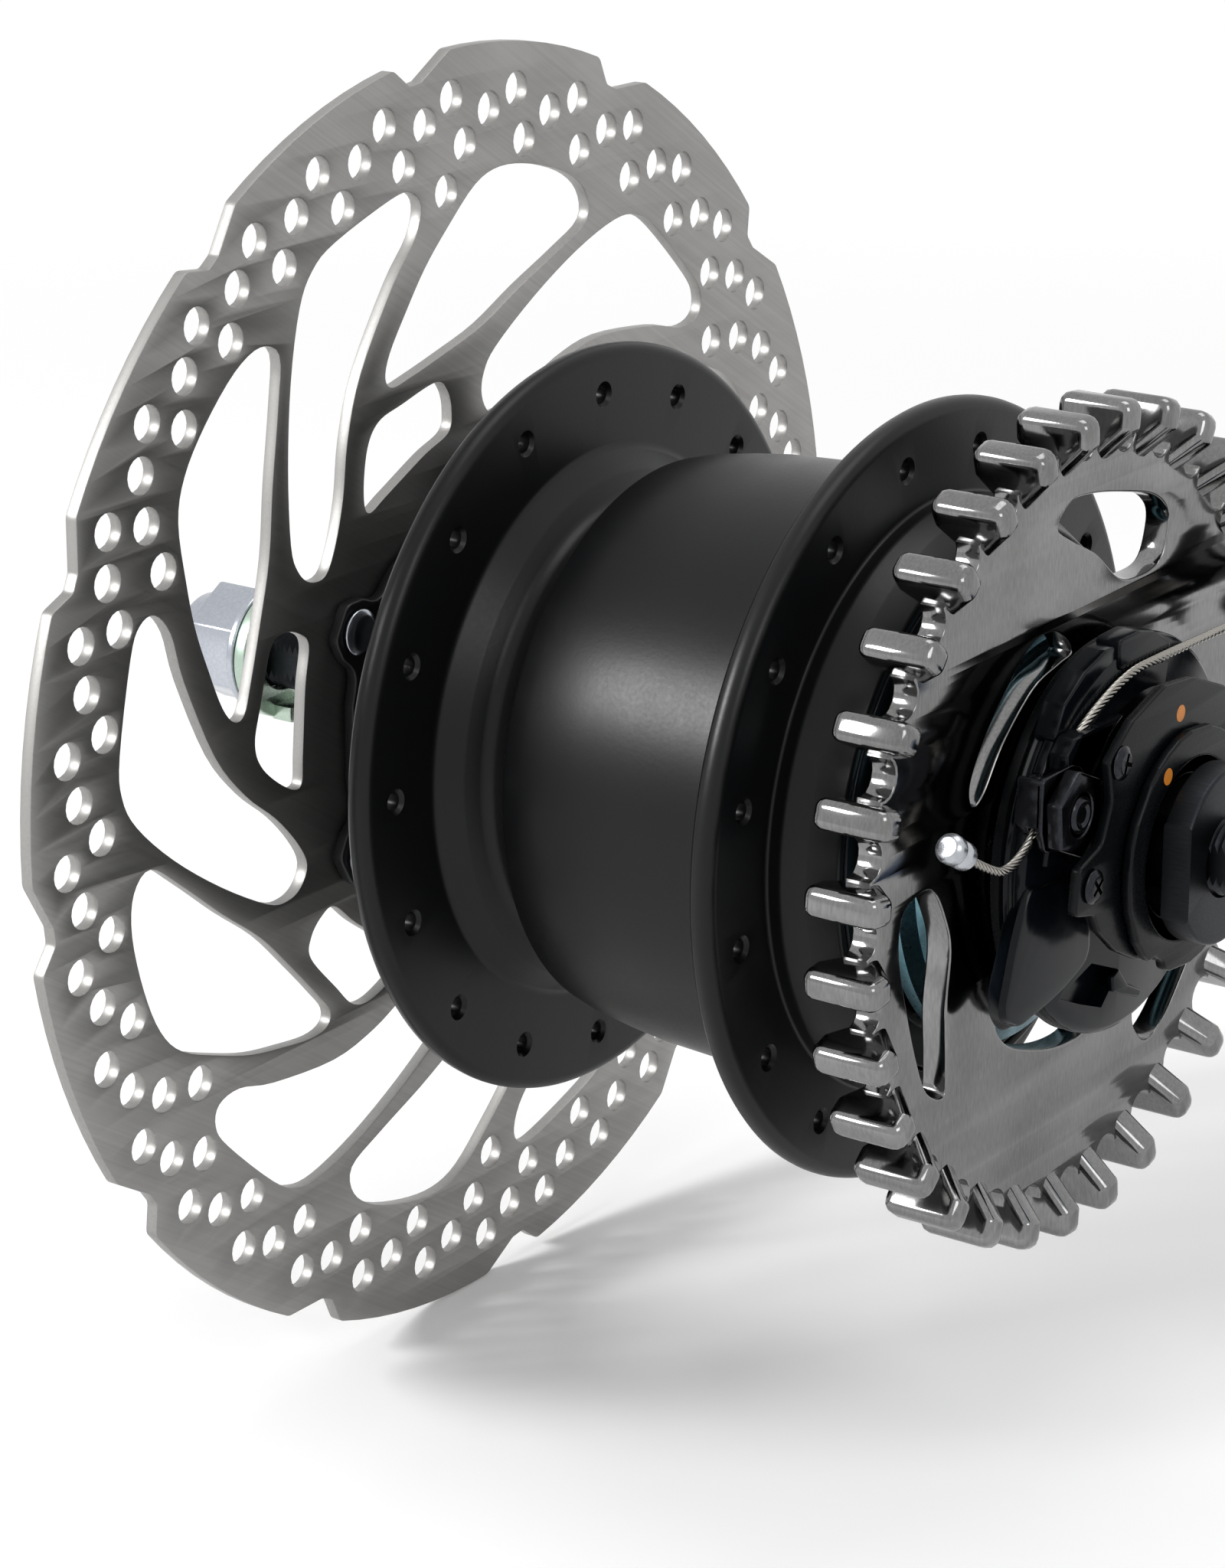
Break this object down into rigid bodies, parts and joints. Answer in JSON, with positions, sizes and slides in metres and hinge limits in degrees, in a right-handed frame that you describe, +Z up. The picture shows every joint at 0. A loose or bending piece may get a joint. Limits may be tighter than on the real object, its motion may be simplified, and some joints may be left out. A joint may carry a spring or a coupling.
{
  "type": "internal gear hub",
  "caption": "Bicycle rear hub with an enclosed stepped planetary train, belt sprocket, cable-worked shift unit and disc brake rotor.",
  "frame": {"origin": "middle of the axle, halfway between the two dropout faces and the two axle ends", "axes": "+Y along the axle towards the disc rotor, +X towards the front of the bicycle, +Z up"},
  "size_m": [0.18, 0.203, 0.18],
  "materials": {
    "black_paint": "satin black enamel",
    "rotor_steel": "ground stainless steel with fine straight scratches",
    "sprocket_steel": "polished stainless steel",
    "bearing_steel": "polished bearing steel",
    "bright_zinc": "bright zinc plate",
    "dark_steel": "blackened turned steel",
    "gear_steel": "ground and oiled gear steel",
    "black_plastic": "black moulded plastic",
    "teal_zinc": "blue-green passivated zinc",
    "green_zinc": "greenish passivated zinc",
    "blue_zinc": "bluish passivated zinc",
    "black_aluminium": "black anodised aluminium",
    "cable_steel": "stranded stainless wire"
  },
  "bodies": {
    "root": {"axle": "dark_steel", "axle_nut_left": "bright_zinc", "axle_nut_right": "bright_zinc", "non_turn_washer_left": "green_zinc", "non_turn_washer_right": "blue_zinc", "left_locknut": "bright_zinc", "right_locknut": "dark_steel", "left_cone": "dark_steel", "right_cone": "dark_steel", "left_dust_seal": "black_plastic", "left_balls": "bearing_steel", "driver_balls": "bearing_steel", "small_sun_gear": "gear_steel", "small_sun_pawl": "gear_steel", "large_sun_pawl": "gear_steel", "shift_bracket": "black_plastic", "bracket_screw_1": "dark_steel", "bracket_screw_2": "dark_steel", "bracket_screw_3": "dark_steel", "fixing_ring": "black_plastic", "casing_ferrule": "bright_zinc"},
    "shell": {"hub_shell": "black_paint", "ring_gear": "gear_steel", "clutch_rollers": "bearing_steel", "ball_cup": "dark_steel", "disc_rotor": "rotor_steel", "rotor_carrier": "black_aluminium", "rotor_lockring": "black_aluminium", "rotor_rivet_1": "bright_zinc", "rotor_rivet_2": "bright_zinc", "rotor_rivet_3": "bright_zinc", "rotor_rivet_4": "bright_zinc", "rotor_rivet_5": "bright_zinc", "rotor_rivet_6": "bright_zinc"},
    "driver": {"driver": "dark_steel", "belt_sprocket": "sprocket_steel", "sprocket_snap_ring": "bright_zinc", "driver_cap": "black_plastic", "dust_cap": "teal_zinc", "planet_carrier": "gear_steel", "planet_pin_1": "gear_steel", "planet_pin_2": "gear_steel", "planet_pin_3": "gear_steel", "shell_balls": "bearing_steel"},
    "planet_1": {"planet_gear_1": "gear_steel"},
    "planet_2": {"planet_gear_2": "gear_steel"},
    "planet_3": {"planet_gear_3": "gear_steel"},
    "large_sun": {"large_sun_gear": "gear_steel"},
    "pulley": {"cable_pulley": "black_plastic", "cable_bolt": "bright_zinc", "cable_washer": "bright_zinc", "cable_nut": "bright_zinc", "shift_cable": "cable_steel", "cable_end_cap": "bright_zinc", "shift_sleeve": "gear_steel"}
  },
  "joints": [
    {"name": "shell_spin", "type": "hinge", "parent": "root", "child": "shell", "pos_m": [0, 0, 0], "axis": [0, 1, 0], "continuous": true},
    {"name": "driver_spin", "type": "hinge", "parent": "root", "child": "driver", "pos_m": [0, 0, 0], "axis": [0, 1, 0], "continuous": true},
    {"name": "planet_1_spin", "type": "hinge", "parent": "driver", "child": "planet_1", "pos_m": [0, 0, 0.02025], "axis": [0, 1, 0], "continuous": true},
    {"name": "planet_2_spin", "type": "hinge", "parent": "driver", "child": "planet_2", "pos_m": [-0.01754, 0, -0.01013], "axis": [0, 1, 0], "continuous": true},
    {"name": "planet_3_spin", "type": "hinge", "parent": "driver", "child": "planet_3", "pos_m": [0.01754, 0, -0.01013], "axis": [0, 1, 0], "continuous": true},
    {"name": "large_sun_spin", "type": "hinge", "parent": "root", "child": "large_sun", "pos_m": [0, 0, 0], "axis": [0, 1, 0], "continuous": true},
    {"name": "pulley_turn", "type": "hinge", "parent": "root", "child": "pulley", "pos_m": [0, 0, 0], "axis": [0, 1, 0], "range_deg": [0, 56], "stiffness_Nm_per_rad": 0.2, "springref_deg": -57.3, "deforming": ["shift_cable"]}
  ],
  "couplings": [
    {"joint": "driver_spin", "follows": "shell_spin", "ratio": 0.72222},
    {"joint": "planet_1_spin", "follows": "shell_spin", "ratio": 0.90278},
    {"joint": "planet_2_spin", "follows": "shell_spin", "ratio": 0.90278},
    {"joint": "planet_3_spin", "follows": "shell_spin", "ratio": 0.90278},
    {"joint": "large_sun_spin", "follows": "shell_spin", "ratio": 0.27083}
  ]
}
